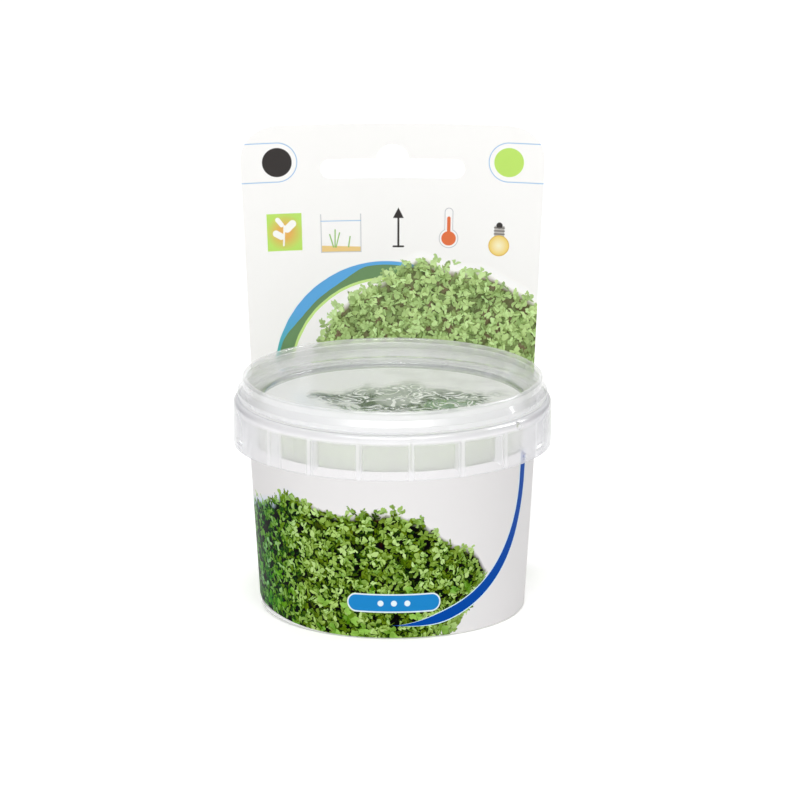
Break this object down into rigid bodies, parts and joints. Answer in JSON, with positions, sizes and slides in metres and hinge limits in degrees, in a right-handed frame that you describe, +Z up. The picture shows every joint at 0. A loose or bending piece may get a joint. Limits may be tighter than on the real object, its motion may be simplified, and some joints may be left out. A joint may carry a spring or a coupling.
{
  "type": "lidded plant culture tub with header card",
  "caption": "Round clear lidded tub with live carpet plant in culture gel, a tamper collar, a wrap label and a fan-shaped header card with a hang slot.",
  "frame": {"origin": "centre of the tub's flat base, on the surface it stands on", "axes": "+Z up along the tub's axis, -Y towards the front of the label, header card on the +Y side, +X to the right seen from the front"},
  "size_m": [0.08, 0.0928, 0.1118],
  "materials": {
    "tub_plastic": "gloss",
    "lid_plastic": "gloss",
    "label_print": "satin",
    "card_print": "satin",
    "gel": "gloss",
    "plant": "satin"
  },
  "bodies": {
    "root": {"tub": "tub_plastic", "lid": "lid_plastic", "wrap_label": "label_print", "header_card": "card_print", "agar_gel": "gel", "plant_clump_1": "plant", "plant_clump_2": "plant", "plant_clump_3": "plant", "plant_clump_4": "plant", "plant_clump_5": "plant", "plant_clump_6": "plant", "plant_clump_7": "plant"}
  },
  "joints": []
}
